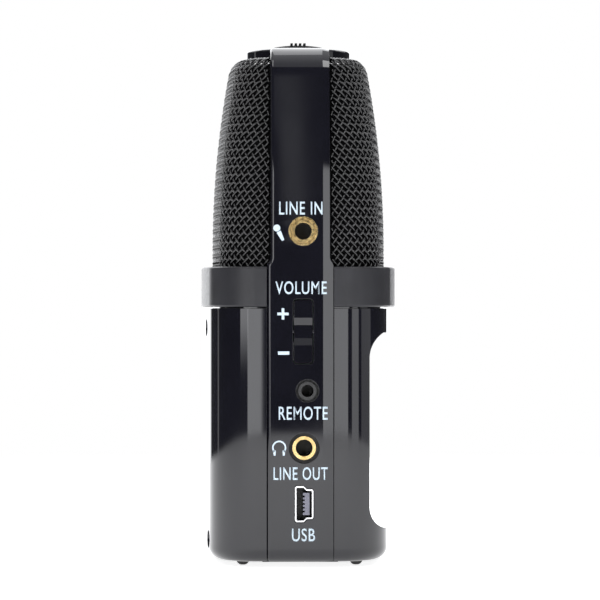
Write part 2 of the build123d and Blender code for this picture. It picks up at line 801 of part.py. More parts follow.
def battery_cover():
    """Door with thumb grooves near its upper edge and a pivot stub at each side of its foot."""
    wall_ring = body_blank(rear_depth) - prism(body_outline(rear_depth, wall), 0, body_top_z + overrun)
    half = opening_half_x - slip
    cover = wall_ring & block(-half, half, 12, beyond, 0, opening_high_z - slip)
    grooves = 5
    groove_pitch = 1.2
    groove_half_x = 5.0
    groove_half_z = 0.3
    groove_deep = 0.45
    for index in range(grooves):
        z = opening_high_z - groove_half_x - groove_pitch * index
        cover -= block(-groove_half_x, groove_half_x, rear_depth - groove_deep, beyond,
                       z - groove_half_z, z + groove_half_z)
    for side in (-1, 1):
        near, far = sorted((side * (half - 0.9), side * cover_pin_half))
        cover += rod_x(cover_pin, near, far, cover_pivot_y, cover_pivot_z)
    return cover


def shell_screws():
    """Cross-head screws, put in from the back."""
    low = screw_head_y
    high = low + screw_head_height
    cross_half = 1.1
    cross_width_half = 0.25
    cross_y = (low + 0.7, high + overrun)
    screws = []
    for x, z in screw_spots:
        screw = rod_y(screw_head_radius, low, high, x, z)
        screw += rod_y(screw_shank_radius, pilot_low_y + 1, low + slip, x, z)
        for half_x, half_z in ((cross_width_half, cross_half), (cross_half, cross_width_half)):
            screw -= block(x - half_x, x + half_x, *cross_y, z - half_z, z + half_z)
        screws.append(screw)
    return Compound(children=screws)


foot_x = 22.0
foot_y = 12.2
foot_radius = 1.5
foot_peg_radius = foot_radius - 0.35
foot_peg_height = 0.75
sole_cut = 0.12             # flattens the tip of each dome


def foot_sockets():
    """Holes that the pegs of the feet fill."""
    sockets = [
        rod_z(foot_peg_radius + running, base_z - overrun, base_z + foot_peg_height + running, x, y)
        for x in (-foot_x, foot_x) for y in (-foot_y, foot_y)
    ]
    return Compound(children=sockets)


def feet():
    """Four low domes with flat tips, each with a peg into the floor."""
    dome_radius = (foot_radius ** 2 + base_z ** 2) / (2 * base_z)
    made = []
    for x in (-foot_x, foot_x):
        for y in (-foot_y, foot_y):
            dome = Pos(x, y, dome_radius - sole_cut) * Sphere(dome_radius)
            reach = 2 * foot_radius
            dome = dome & block(x - reach, x + reach, y - reach, y + reach, 0, base_z)
            made.append(dome + rod_z(foot_peg_radius, base_z - slip, base_z + foot_peg_height, x, y))
    return Compound(children=made)


# ---- front of the body --------------------------------------------------------------------------
def display_window():
    return block(-window_half_x, window_half_x, recess_y + 0.02, recess_y + window_thickness,
                 window_low_z, window_high_z)


def display_module():
    """Backlit panel with a raised glass that shows through the window."""
    half = window_half_x + 1
    glass_half = 15.5
    glass_edge = 2.5
    module = block(-half, half, cavity_front_y + running, cavity_front_y + 2.6,
                   window_low_z - 1.5, window_high_z + 1.0)
    return module + block(-glass_half, glass_half, cavity_front_y - 0.6, cavity_front_y + slip,
                          window_low_z + glass_edge, window_high_z - glass_edge)


def rec_button():
    """Long push button on the chin, its retaining stem going in."""
    proud = 0.4
    cap = pill_y(rec_half_x, rec_half_z, chin_y - proud, chin_y + 2.0, 0, rec_z)
    rim = [edge for edge in cap.edges() if edge.center().Y < chin_y - proud + 0.01]
    cap = fillet(rim, 0.35)
    return cap + block(-1.5, 1.5, chin_y + 1.9, chin_inner_y - 0.3, rec_z - 1.2, rec_z + 1.2)


def rec_switch():
    near = chin_inner_y + slip
    body = block(-3, 3, near + 0.4, near + 2.3, rec_z - 2, rec_z + 3)
    return body + rod_y(1.0, near, near + 0.5, 0, rec_z)


def status_light():
    return rod_y(light_radius, recess_y - 0.1, cavity_front_y + 1.0, light_x, light_z)


# ---- inside the body ------------------------------------------------------------------------------
main_board_y = -8.4
main_board_low_z = 11.5
main_board_top_z = 52.6
chips = [((-7, 5), (36, 48), 1.2), ((9, 16), (26, 34), 1.0), ((-16, -9), (22, 31), 1.0)]  # x, z, height


def main_board():
    back = main_board_y + board_thickness
    board = block(-20.5, 20.5, main_board_y, back, main_board_low_z, main_board_top_z)
    for x_span, z_span, height in chips:
        board += block(*x_span, main_board_y - height, main_board_y + slip, *z_span)
    for x, z in screw_spots:
        board -= rod_y(boss_radius + slip, main_board_y - overrun, back + overrun, x, z)
    return board


def tripod_insert():
    """Threaded sleeve with a collar that rests on the floor."""
    outer = tripod_radius + tripod_wall
    insert = rod_z(outer, base_z + 0.2, base_z + 6.0, 0, tripod_y)
    insert += rod_z(outer + 1.0, floor_z + running, floor_z + 1.2, 0, tripod_y)
    return insert - rod_z(tripod_radius, base_z - overrun, base_z + 5.0, 0, tripod_y)


def dc_jack():
    """Barrel jack that opens downwards, with its centre pin."""
    low = floor_z + running
    half = 3.7
    pin_radius = 0.85
    body = block(dc_x - half, dc_x + half, dc_y - half, dc_y + half, low, low + 8.0)
    body -= rod_z(dc_radius - 0.2, low - overrun, low + 7.0, dc_x, dc_y)
    return body + rod_z(pin_radius, low + 0.6, low + 7.5, dc_x, dc_y)


def battery_tray():
    """Open box behind the battery door, with a rib between the cells."""
    half = 16.0
    low = floor_z + running
    top = 61.2
    back = -0.4
    side_wall = 1.0
    end_wall = 0.8
    rib_half = 0.25
    tray = block(-half, half, back, 15.8, low, top)
    space_low = low + end_wall + 0.35
    tray -= block(side_wall - half, half - side_wall, back + 1.15, 17, space_low, top - end_wall)
    return tray + block(-rib_half, rib_half, back + 1.1, 9.0, space_low - slip, top - end_wall + slip)


def battery(x, flip):
    """A round cell with its contact nub; flipped cells point down."""
    nub = 1.0
    nub_radius = 2.7
    low = battery_low_z + (nub if flip else 0.0)
    cell = rod_z(battery_radius, low, low + battery_length - nub, x, battery_y)
    rims = [edge for edge in cell.edges() if edge.geom_type == GeomType.CIRCLE]
    cell = fillet(rims, 0.5)
    if flip:
        return cell + rod_z(nub_radius, low - nub, low + slip, x, battery_y)
    high = low + battery_length
    return cell + rod_z(nub_radius, high - nub - slip, high, x, battery_y)


contact_half = 5.0          # of the square contact plates
contact_thickness = 0.4


def battery_cells():
    return Compound(children=[battery(-battery_x, False), battery(battery_x, True)])


def coil(x, low, high):
    """Conical contact spring on a flat plate at its upper end."""
    wire = 0.35
    turns = 4
    widest = 4.2
    narrowing = -12             # degrees that the coil leans in on its way up
    rise = high - low - 2 * wire
    path = Helix(pitch=rise / turns, height=rise, radius=widest, cone_angle=narrowing)
    wound = sweep(Plane(path @ 0, z_dir=path % 0) * Circle(wire), path=path)
    wound = Pos(x, battery_y, low + wire) * wound
    plate = block(x - contact_half, x + contact_half, battery_y - 4.5, battery_y + 4.5,
                  high - contact_thickness, high)
    return wound + plate


def battery_springs():
    """One spring above each cell."""
    high = 60.35
    springs = [coil(x, battery_low_z + battery_length + 0.1, high) for x in (-battery_x, battery_x)]
    return Compound(children=springs)


def battery_contacts():
    """One plate below each cell."""
    high = battery_low_z - slip
    plates = [
        block(x - contact_half, x + contact_half, battery_y - contact_half, battery_y + contact_half,
              high - contact_thickness, high)
        for x in (-battery_x, battery_x)
    ]
    return Compound(children=plates)


def speaker():
    """Small round speaker: magnet, basket, and a sunken cone behind its rim."""
    near = 16.2
    middle = near + 1.2
    far = near + 2.4
    basket = rod_y(6.8, middle, far, 0, slot_middle_z)
    basket -= rod_y(5.6, far - 0.5, far + overrun, 0, slot_middle_z)
    return basket + rod_y(4.2, near, middle + slip, 0, slot_middle_z)


def ribbon_cable():
    """Flat cable from the main board up to the capsules."""
    half = 4.0
    thickness = 0.2
    top = 72.0
    near = main_board_y + board_thickness + running
    run = block(-half, half, near, near + thickness, 49.0, top)
    return run + block(-half, half, near, -post_half - running, top - thickness, top)


# ---- collar and grilles -------------------------------------------------------------------------
def band_ring():
    ring = prism(crowned_outline(half_width + 0.1, band_depth, side_crown, face_crown, corner_radius),
                 band_low_z, band_top_z)
    rims = [
        edge for edge in ring.edges()
        if edge.center().Z > band_top_z - 0.01 or edge.center().Z < band_low_z + 0.01
    ]
    ring = ring.fillet(band_rounding, rims)
    inner = grille_outline(grille_base_z, -running)
    return ring - prism(inner, band_low_z - overrun, band_top_z + overrun)


def front_band():
    return band_ring() & block(-beyond, beyond, -beyond, -spine_half_low - slip, band_low_z, band_top_z)


def rear_band():
    return band_ring() & block(-beyond, beyond, spine_half_low + slip, beyond, band_low_z, band_top_z)


def grille_rounding(z):
    """How far the grille's shoulder has turned in at a height."""
    rise = max(0.0, z - grille_shoulder_z + grille_shoulder_up)
    share = min(1.0, rise / grille_shoulder_up)
    return grille_shoulder_in * (1 - math.sqrt(1 - share ** 2))


def grille_outline(z, inset):
    """Plan outline of the grille at a height up to its shoulder, set in by an amount."""
    inset = inset + grille_rounding(z)
    half_x = spine_x(z) - grille_inset_x - inset
    half_y = grille_depth - lean(z, grille_bend_start, grille_bend_radius) - inset
    return crowned_outline(half_x, half_y, grille_side_crown, grille_face_crown, grille_corner - inset)


def grille_crown_outline():
    """Nearly round outline where the grille ends under the top plate."""
    half = plate_radius - 0.2
    return crowned_outline(half, half, grille_face_crown, grille_face_crown, grille_top_corner)


def dome(inset):
    """Closed body inside the grille's outer face, set in by an amount."""
    base = grille_base_z - (overrun if inset else 0.0)
    shoulder_low = grille_shoulder_z - grille_shoulder_up
    side_heights = [grille_bend_start + step * (98.0 - grille_bend_start) / 3 for step in range(4)]
    shoulder_heights = [shoulder_low + share * grille_shoulder_up for share in (0, 0.53, 0.84, 1)]
    sections = [(base, grille_outline(grille_base_z, inset))]
    for z in side_heights + shoulder_heights:
        sections.append((z - inset, grille_outline(z, inset)))
    sections.append((grille_top_z - inset, grille_crown_outline()))
    wires = [outline.translate(Vector(0, 0, z)).outer_wire() for z, outline in sections]
    return Solid.make_loft(wires, True)


def dome_layer(outer_inset, inner_inset, side, edge_y):
    """One half of a thin layer that follows the grille, cut off along the spines."""
    layer = dome(outer_inset) - dome(inner_inset)
    low, high = sorted((side * edge_y, side * beyond))
    return layer & block(-beyond, beyond, low, high, grille_base_z, strap_top_z)


def grille_half(side):
    layer = dome_layer(0, mesh_thickness, side, spine_half_high + slip)
    reach = spine_half_low + slip
    neck_top = band_top_z + spine_neck_height
    return layer - block(-beyond, beyond, -reach, reach, grille_base_z - overrun, neck_top)


def foam_half(side):
    """Soft layer behind one grille half, clear of the switch under the dial."""
    layer = dome_layer(foam_inset, foam_inset + foam_thickness, side, foam_edge_y)
    return layer - rod_z(mode_switch_radius + 0.7, switch_low_z - 4, strap_top_z, 0, 0)


def front_grille():
    return grille_half(-1)


def rear_grille():
    return grille_half(1)


def front_foam():
    return foam_half(-1)


def rear_foam():
    return foam_half(1)


# ---- microphones ----------------------------------------------------------------------------------
chassis_low_z = 61.6
chassis_top_z = 63.2
low_shelf_z = 76.4
high_shelf_z = 91.4
shelf_thickness = 1.2
capsule_radius = 4.9
capsule_rim = 0.9
low_capsule_z = low_shelf_z + capsule_radius + slip
high_capsule_z = high_shelf_z + capsule_radius + slip
post_half = 2.6
switch_low_z = 104.4
mode_switch_radius = 5.5


def mic_chassis():
    """Plate that closes the body's top inside the foam."""
    outline = grille_outline(chassis_low_z, foam_inset + foam_thickness + slip)
    plate = prism(outline, chassis_low_z, chassis_top_z)
    levels = (chassis_low_z - overrun, chassis_top_z + overrun)
    cable_y = main_board_y + board_thickness
    plate -= block(-4.3, 4.3, cable_y - 0.2, cable_y + 0.6, *levels)
    return plate - block(gain_x - gain_radius - 0.4, beyond, -gain_half_y - 0.4, 6.3, *levels)


def capsule_holder():
    """Post with two round shelves."""
    post = block(-post_half, post_half, -post_half, post_half, chassis_top_z, switch_low_z - 0.05)
    for radius, top in ((13.5, low_shelf_z), (11.5, high_shelf_z)):
        post += rod_z(radius, top - shelf_thickness, top, 0, 0)
    return post


def capsule(x, y, z, heading, length):
    """A microphone capsule whose open end looks along a heading, in degrees from +X."""
    body = Cylinder(capsule_radius, length)
    body -= Pos(0, 0, length / 2) * Cylinder(capsule_radius - capsule_rim, 0.8)
    return Pos(x, y, z) * Rot(0, 0, heading) * Rot(0, 90, 0) * body


def mid_capsule():
    return capsule(0, -7.3, low_capsule_z, -90, 6.0)


def side_capsule_left():
    return capsule(-6.6, 2.0, low_capsule_z, 180, 6.0)


def side_capsule_right():
    return capsule(6.6, 2.0, low_capsule_z, 0, 6.0)


def xy_capsule_left():
    return capsule(-6.6, 3.4, high_capsule_z, 135, 5.0)


def xy_capsule_right():
    return capsule(6.6, 3.4, high_capsule_z, 45, 5.0)


# ---- top ------------------------------------------------------------------------------------------
dial_radius = 5.7
dial_low_z = plate_top_z + 0.1
dial_rim_z = 113.0
dial_top_z = 113.55         # middle of the domed top
ridge_top_z = 113.8
shaft_radius = 1.5


def top_plate():
    plate = rod_z(plate_radius, plate_low_z, plate_top_z, 0, 0)
    rim = [edge for edge in plate.edges() if edge.center().Z > plate_top_z - 0.01]
    plate = fillet(rim, 0.5)
    return plate - rod_z(shaft_radius + running, plate_low_z - overrun, plate_top_z + overrun, 0, 0)


def mode_dial():
    """Low domed dial with grip ridges across its middle and a shaft below."""
    rise = dial_top_z - dial_rim_z
    dome_radius = (dial_radius ** 2 + rise ** 2) / (2 * rise)
    dial = rod_z(dial_radius, dial_low_z, dial_top_z, 0, 0)
    dial = dial & Pos(0, 0, dial_top_z - dome_radius) * Sphere(dome_radius)
    ridges = 4
    pitch = 0.95
    ridge_half_x = 4.4
    ridge_half_y = 0.26
    for index in range(ridges):
        y = (index - (ridges - 1) / 2) * pitch
        dial += block(-ridge_half_x, ridge_half_x, y - ridge_half_y, y + ridge_half_y,
                      dial_rim_z - 0.3, ridge_top_z)
    return dial + rod_z(shaft_radius, switch_low_z + 3.0, dial_low_z + 0.1, 0, 0)


def mode_switch():
    body = rod_z(mode_switch_radius, switch_low_z, strap_top_z - wall - 2 * slip, 0, 0)
    return body - rod_z(shaft_radius + running, switch_low_z + 2.0, strap_top_z, 0, 0)


makers = [
    front_shell, rear_shell, left_spine, right_spine, front_band, rear_band, front_grille, rear_grille,
    front_foam, rear_foam, mic_chassis, capsule_holder, mid_capsule, side_capsule_left,
    side_capsule_right, xy_capsule_left, xy_capsule_right, top_plate, mode_dial, mode_switch,
    line_in_jack, line_in_bushing, line_out_jack, line_out_bushing, remote_jack, usb_port,
    volume_rocker, volume_switches, jack_board, gain_wheel, gain_potentiometer, menu_button,
    menu_switch, play_switch, play_stem, play_encoder, power_slider, power_switch, control_board,
    card_cover, card_hinge_pin, card_socket, memory_card, display_window, display_module,
    rec_button, rec_switch, status_light, main_board, tripod_insert, dc_jack, battery_cover,
    battery_tray, battery_springs, battery_contacts, battery_cells, speaker, ribbon_cable,
    shell_screws, feet,
]
for maker in makers:
    write(maker.__name__, maker())
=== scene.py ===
import bisect
import bpy
import bmesh
import json
import math
import random
from mathutils import Matrix, Vector


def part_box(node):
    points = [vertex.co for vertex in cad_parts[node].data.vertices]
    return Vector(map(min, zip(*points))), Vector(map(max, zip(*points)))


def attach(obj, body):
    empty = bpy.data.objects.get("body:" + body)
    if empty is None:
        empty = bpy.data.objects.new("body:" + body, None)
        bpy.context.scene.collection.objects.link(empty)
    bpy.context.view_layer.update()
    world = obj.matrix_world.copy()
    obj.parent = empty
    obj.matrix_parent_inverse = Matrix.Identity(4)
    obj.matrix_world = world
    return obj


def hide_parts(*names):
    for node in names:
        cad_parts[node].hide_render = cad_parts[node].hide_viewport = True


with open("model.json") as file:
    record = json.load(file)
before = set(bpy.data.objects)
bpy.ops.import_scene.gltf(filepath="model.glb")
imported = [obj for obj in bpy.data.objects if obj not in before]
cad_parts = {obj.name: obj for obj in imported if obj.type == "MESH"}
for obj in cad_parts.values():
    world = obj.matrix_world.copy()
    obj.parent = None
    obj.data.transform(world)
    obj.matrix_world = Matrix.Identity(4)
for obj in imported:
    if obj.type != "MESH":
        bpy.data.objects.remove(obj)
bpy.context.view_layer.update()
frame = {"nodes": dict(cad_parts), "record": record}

MM = 0.001
EDGE_ROUNDING = 0.12 * MM
ROUNDING_SAMPLES = 6


# ---------------------------------------------------------------- node helpers
class Shader:
    """Short calls for building one material's node tree."""

    def __init__(self, name):
        self.material = bpy.data.materials.new(name)
        self.material.use_nodes = True
        self.tree = self.material.node_tree
        self.bsdf = self.tree.nodes["Principled BSDF"]
        self.coords = self.tree.nodes.new("ShaderNodeTexCoord").outputs["Object"]

    def node(self, kind, **values):
        made = self.tree.nodes.new(kind)
        for key, value in values.items():
            if key in made.inputs:
                made.inputs[key].default_value = value
            else:
                setattr(made, key, value)
        return made

    def link(self, source, target):
        self.tree.links.new(source, target)

    def set(self, **values):
        for key, value in values.items():
            self.bsdf.inputs[key.replace("_", " ")].default_value = value

    def noise(self, scale, detail=3.0, stretch=(1, 1, 1)):
        """Noise at a scale in waves per metre."""
        mapping = self.node("ShaderNodeMapping")
        mapping.inputs["Scale"].default_value = stretch
        self.link(self.coords, mapping.inputs["Vector"])
        made = self.node("ShaderNodeTexNoise", Scale=scale, Detail=detail)
        self.link(mapping.outputs["Vector"], made.inputs["Vector"])
        return made.outputs["Fac"]

    def span(self, source, low, high, source_low=0.3, source_high=0.7):
        """A value carried from one range to another."""
        made = self.node("ShaderNodeMapRange")
        made.inputs["From Min"].default_value = source_low
        made.inputs["From Max"].default_value = source_high
        made.inputs["To Min"].default_value = low
        made.inputs["To Max"].default_value = high
        self.link(source, made.inputs["Value"])
        return made.outputs["Result"]

    def mix(self, fac, first, second):
        """A colour between two colours, by a 0 to 1 value."""
        made = self.node("ShaderNodeMix", data_type="RGBA")
        self.link(fac, made.inputs["Factor"])
        for socket, value in (("A", first), ("B", second)):
            target = [i for i in made.inputs if i.name == socket and i.type == "RGBA"][0]
            if isinstance(value, bpy.types.NodeSocket):
                self.link(value, target)
            else:
                target.default_value = (*value, 1.0)
        return [o for o in made.outputs if o.type == "RGBA"][0]

    def bump(self, height, distance, strength=1.0, edge=0.0):
        """Fine relief. An edge radius above zero also rounds sharp edges off in the shading."""
        made = self.node("ShaderNodeBump")
        if edge:
            rounding = self.node("ShaderNodeBevel", samples=ROUNDING_SAMPLES)
            rounding.inputs["Radius"].default_value = edge
            self.link(rounding.outputs["Normal"], made.inputs["Normal"])
        made.inputs["Distance"].default_value = distance
        made.inputs["Strength"].default_value = strength
        self.link(height, made.inputs["Height"])
        self.link(made.outputs["Normal"], self.bsdf.inputs["Normal"])

    def paint(self, color_socket):
        self.link(color_socket, self.bsdf.inputs["Base Color"])

    def shine(self, roughness_socket):
        self.link(roughness_socket, self.bsdf.inputs["Roughness"])


# ---------------------------------------------------------------- materials
def gloss_black():
    """Polished black moulding with a faint ripple and a little dust haze."""
    s = Shader("gloss_black")
    s.paint(s.mix(s.span(s.noise(90), 0, 1), (0.0022, 0.0022, 0.0042), (0.0034, 0.0034, 0.0060)))
    s.shine(s.span(s.noise(60, 5), 0.02, 0.055))
    s.set(IOR=1.5)
    s.bump(s.noise(35, 1), 0.000003, 0.5, EDGE_ROUNDING)
    return s.material


def matte_black():
    s = Shader("matte_black")
    s.paint(s.mix(s.span(s.noise(300), 0, 1), (0.007, 0.007, 0.008), (0.012, 0.012, 0.013)))
    s.shine(s.span(s.noise(900, 4), 0.34, 0.52))
    s.bump(s.noise(5200, 4), 0.00003, 0.5)
    return s.material


def satin_collar():
    """Fine blasted dark finish."""
    s = Shader("satin_collar")
    s.paint(s.mix(s.span(s.noise(120), 0, 1), (0.009, 0.009, 0.011), (0.013, 0.013, 0.016)))
    s.shine(s.span(s.noise(1500, 4), 0.32, 0.40))
    s.set(IOR=1.36)
    s.bump(s.noise(9000, 3), 0.00002, 0.35)
    return s.material


def wire_black():
    """Black coated wire, a little uneven in gloss."""
    s = Shader("wire_mesh")
    s.set(IOR=1.55)
    s.paint(s.mix(s.span(s.noise(700, 4), 0, 1), (0.0012, 0.0012, 0.0016), (0.0030, 0.0030, 0.0036)))
    s.shine(s.span(s.noise(1800, 3), 0.16, 0.26))
    s.bump(s.noise(12000, 2), 0.00001, 0.3)
    return s.material


def foam_black():
    s = Shader("foam")
    cells = s.node("ShaderNodeTexVoronoi", Scale=2200.0)
    s.link(s.coords, cells.inputs["Vector"])
    # Painted shade: each open cell is darker towards its middle, where the bump sinks it, standing in for
    # shade in the pore hollows.
    shade_depth = s.span(cells.outputs["Distance"], 0, 1, 0.0, 0.6)
    s.paint(s.mix(shade_depth, (0.0006, 0.0006, 0.0006), (0.0022, 0.0022, 0.0025)))
    s.shine(s.span(s.noise(500), 0.85, 1.0))
    s.set(Specular_IOR_Level=0.15)
    s.bump(cells.outputs["Distance"], 0.0002, 0.8)
    return s.material


def brass():
    """Turned gold-plated brass with fine tool marks."""
    s = Shader("brass")
    s.set(Metallic=1.0)
    s.paint(s.mix(s.span(s.noise(600), 0, 1), (0.62, 0.43, 0.17), (0.76, 0.58, 0.28)))
    s.shine(s.span(s.noise(1500, 4), 0.14, 0.28))
    s.bump(s.noise(9000, 2), 0.00001, 0.3)
    return s.material


def metal(name, dark, light, rough_low, rough_high):
    """Plated or blackened metal with fine streaks."""
    s = Shader(name)
    s.set(Metallic=1.0)
    s.paint(s.mix(s.span(s.noise(500, 4), 0, 1), dark, light))
    s.shine(s.span(s.noise(2500, 4, (1, 1, 6)), rough_low, rough_high))
    s.bump(s.noise(6000, 3, (1, 1, 5)), 0.00001, 0.35)
    return s.material


def steel():
    return metal("steel", (0.52, 0.52, 0.54), (0.70, 0.70, 0.71), 0.18, 0.38)


def dark_steel():
    return metal("dark_steel", (0.10, 0.10, 0.11), (0.18, 0.18, 0.19), 0.30, 0.48)


def dial_black():
    """Dull fine-textured plastic that stays dark even when seen edge on."""
    s = Shader("dial_black")
    s.paint(s.mix(s.span(s.noise(400), 0, 1), (0.006, 0.006, 0.007), (0.010, 0.010, 0.011)))
    s.shine(s.span(s.noise(1200, 4), 0.7, 0.85))
    s.set(Specular_IOR_Level=0.12)
    s.bump(s.noise(6000, 3), 0.00003, 0.4)
    return s.material


def data_port_metal():
    """Bright folded rim, a grey tongue behind it, and shade further in."""
    s = Shader("data_port_metal")
    low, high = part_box("usb_port")
    split = s.node("ShaderNodeSeparateXYZ")
    s.link(s.coords, split.inputs["Vector"])
    shade_depth = split.outputs["X"]
    inside = s.span(shade_depth, 0, 1, low.x + 0.35 * MM, low.x + 0.45 * MM)
    tongue_face = s.span(shade_depth, 1, 0, low.x + 0.75 * MM, low.x + 0.85 * MM)
    middle = (low.y + high.y) / 2
    tongue_side = s.span(split.outputs["Y"], 1, 0, middle + 0.30 * MM, middle + 0.35 * MM)
    tongue_end = s.span(split.outputs["Y"], 0, 1, middle - 1.25 * MM, middle - 1.20 * MM)
    factors = s.node("ShaderNodeMath", operation="MULTIPLY")
    s.link(tongue_face, factors.inputs[0])
    s.link(tongue_side, factors.inputs[1])
    tongue = s.node("ShaderNodeMath", operation="MULTIPLY")
    s.link(factors.outputs[0], tongue.inputs[0])
    s.link(tongue_end, tongue.inputs[1])
    deep = s.mix(tongue.outputs[0], (0.004, 0.004, 0.005), (0.12, 0.12, 0.155))
    rim = s.mix(s.span(s.noise(900, 4), 0, 1), (0.72, 0.72, 0.74), (0.86, 0.86, 0.87))
    s.paint(s.mix(inside, rim, deep))
    metallic = s.span(shade_depth, 1, 0, low.x + 0.35 * MM, low.x + 0.45 * MM)
    s.link(metallic, s.bsdf.inputs["Metallic"])
    s.shine(s.span(s.noise(2500, 4), 0.30, 0.42))
    s.bump(s.noise(6000, 3), 0.00001, 0.3)
    return s.material


def green_board():
    """Solder mask with copper tracks showing through."""
    s = Shader("green_board")
    tracks = s.node("ShaderNodeTexBrick", Scale=420.0)
    tracks.inputs["Mortar Size"].default_value = 0.03
    s.link(s.coords, tracks.inputs["Vector"])
    s.paint(s.mix(tracks.outputs["Fac"], (0.010, 0.075, 0.032), (0.020, 0.13, 0.055)))
    s.shine(s.span(s.noise(800), 0.25, 0.42))
    s.bump(tracks.outputs["Fac"], 0.00003, 0.5)
    return s.material


def window_glass():
    """Dark polished window that shows nothing behind it."""
    s = Shader("window")
    s.set(IOR=1.5)
    s.paint(s.mix(s.span(s.noise(70), 0, 1), (0.010, 0.011, 0.012), (0.014, 0.015, 0.016)))
    s.shine(s.span(s.noise(40, 4), 0.02, 0.06))
    s.bump(s.noise(60, 1), 0.00001, 0.2)
    return s.material


def plain_moulding(name, dark, light, rough_low, rough_high, grain=3000):
    s = Shader(name)
    s.paint(s.mix(s.span(s.noise(250, 4), 0, 1), dark, light))
    s.shine(s.span(s.noise(700, 4), rough_low, rough_high))
    s.bump(s.noise(grain, 3), 0.00002, 0.4)
    return s.material


def label_white():
    """Screen-printed white ink with a slight blue cast."""
    s = Shader("label_ink")
    s.paint(s.mix(s.span(s.noise(2500, 4), 0, 1), (0.34, 0.42, 0.49), (0.46, 0.54, 0.60)))
    s.shine(s.span(s.noise(1500), 0.35, 0.5))
    s.bump(s.noise(8000, 2), 0.00001, 0.3)
    return s.material


def cell_wrap():
    """Printed sleeve of a cell: dark below, bright above one height."""
    change_start, change_end = 42.5 * MM, 43.0 * MM
    s = Shader("cell_wrap")
    split = s.node("ShaderNodeSeparateXYZ")
    s.link(s.coords, split.inputs["Vector"])
    band = s.span(split.outputs["Z"], 0, 1, change_start, change_end)
    s.paint(s.mix(band, (0.015, 0.02, 0.022), (0.50, 0.26, 0.06)))
    s.shine(s.span(s.noise(500), 0.12, 0.25))
    s.bump(s.noise(300, 2), 0.00002, 0.3)
    return s.material


MATERIALS = {
    "gloss_black": gloss_black(),
    "matte_black": matte_black(),
    "satin_collar": satin_collar(),
    "wire_mesh": wire_black(),
    "foam": foam_black(),
    "brass": brass(),
    "steel": steel(),
    "dark_steel": dark_steel(),
    "green_board": green_board(),
    "window": window_glass(),
    "display": plain_moulding("display", (0.20, 0.24, 0.19), (0.26, 0.30, 0.24), 0.3, 0.5),
    "amber": plain_moulding("amber", (0.30, 0.14, 0.03), (0.42, 0.22, 0.06), 0.2, 0.4),
    "cell_wrap": cell_wrap(),
    "card_blue": plain_moulding("card_blue", (0.010, 0.016, 0.05), (0.016, 0.024, 0.07), 0.35, 0.5),
    "rubber": plain_moulding("rubber", (0.008, 0.008, 0.008), (0.016, 0.016, 0.016), 0.6, 0.85),
    "paper_cone": plain_moulding("paper_cone", (0.02, 0.02, 0.02), (0.045, 0.043, 0.04), 0.7, 0.95, 1500),
    "red_lens": plain_moulding("red_lens", (0.30, 0.008, 0.008), (0.42, 0.015, 0.012), 0.1, 0.2),
}
LABEL_INK = label_white()
OWN_FINISH = {"mode_dial": dial_black(), "usb_port": data_port_metal()}
CAD_SLOTS = {row["node"]: row["material_slot"] for row in frame["record"]["subparts"]}


def dress_cad_nodes():
    """Gives every CAD node its material."""
    for node, obj in frame["nodes"].items():
        slot_name = CAD_SLOTS[node]
        obj.data.materials.clear()
        obj.data.materials.append(OWN_FINISH.get(node, MATERIALS[slot_name]))


# ---------------------------------------------------------------- grille form
SPINE_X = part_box("left_spine")[0].x
SIDE_BEND_START = 64.0 * MM
SIDE_BEND_RADIUS = 172.0 * MM
FACE_BEND_START = 68.0 * MM
FACE_BEND_RADIUS = 217.5 * MM
SHOULDER_IN = 1.4 * MM
SHOULDER_UP = 1.9 * MM
SHOULDER_BELOW_TOP = 1.0 * MM
SIDE_CROWN = 1.2 * MM
FACE_CROWN = 2.6 * MM
TOP_CROWN = 2.6 * MM
CORNER = 9.0 * MM
TOP_CORNER = 7.5 * MM
GRILLE_LOW, GRILLE_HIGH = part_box("front_grille")
GRILLE_INSET = 1.1 * MM
GRILLE_HALF_X = -SPINE_X - GRILLE_INSET
GRILLE_HALF_Y = -GRILLE_LOW.y
GRILLE_EDGE_Y = -GRILLE_HIGH.y
SHOULDER_Z = GRILLE_HIGH.z - SHOULDER_BELOW_TOP
PLATE_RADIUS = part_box("top_plate")[1].x
TOP_HALF = PLATE_RADIUS - 0.2 * MM


def lean(z, start, radius):
    """How far an upright arc has come in at a height."""
    rise = max(0.0, z - start)
    return radius - math.sqrt(radius ** 2 - rise ** 2)


def arc_points(middle, radius, start, end, steps):
    """Points along an arc, without its last one."""
    angles = [start + (end - start) * i / steps for i in range(steps)]
    return [middle + radius * Vector((math.cos(a), math.sin(a))) for a in angles]


def quarter_outline(half_x, half_y, side_crown, face_crown, corner):
    """Plan points from the middle of the face round the corner to the middle of the side."""
    side_radius = ((half_y - face_crown) ** 2 + side_crown ** 2) / (2 * side_crown)
    face_radius = ((half_x - side_crown) ** 2 + face_crown ** 2) / (2 * face_crown)
    side_middle = Vector((half_x - side_radius, 0))
    face_middle = Vector((0, half_y - face_radius))
    gap = face_middle - side_middle
    side_reach, face_reach = side_radius - corner, face_radius - corner
    along = (gap.length_squared + side_reach ** 2 - face_reach ** 2) / (2 * gap.length)
    off = math.sqrt(max(0.0, side_reach ** 2 - along ** 2))
    ahead = gap.normalized()
    turns = (ahead.orthogonal(), -ahead.orthogonal())
    choices = [side_middle + ahead * along + turn * off for turn in turns]
    middle = max(choices, key=lambda point: point.x + point.y)
    low = math.atan2(middle.y, middle.x - side_middle.x)
    high = math.atan2(middle.y - face_middle.y, middle.x)
    points = arc_points(face_middle, face_radius, math.pi / 2, high, 10)
    points += arc_points(middle, corner, high, low, 12)
    points += arc_points(side_middle, side_radius, low, 0.0, 10)
    return points + [side_middle + Vector((side_radius, 0))]


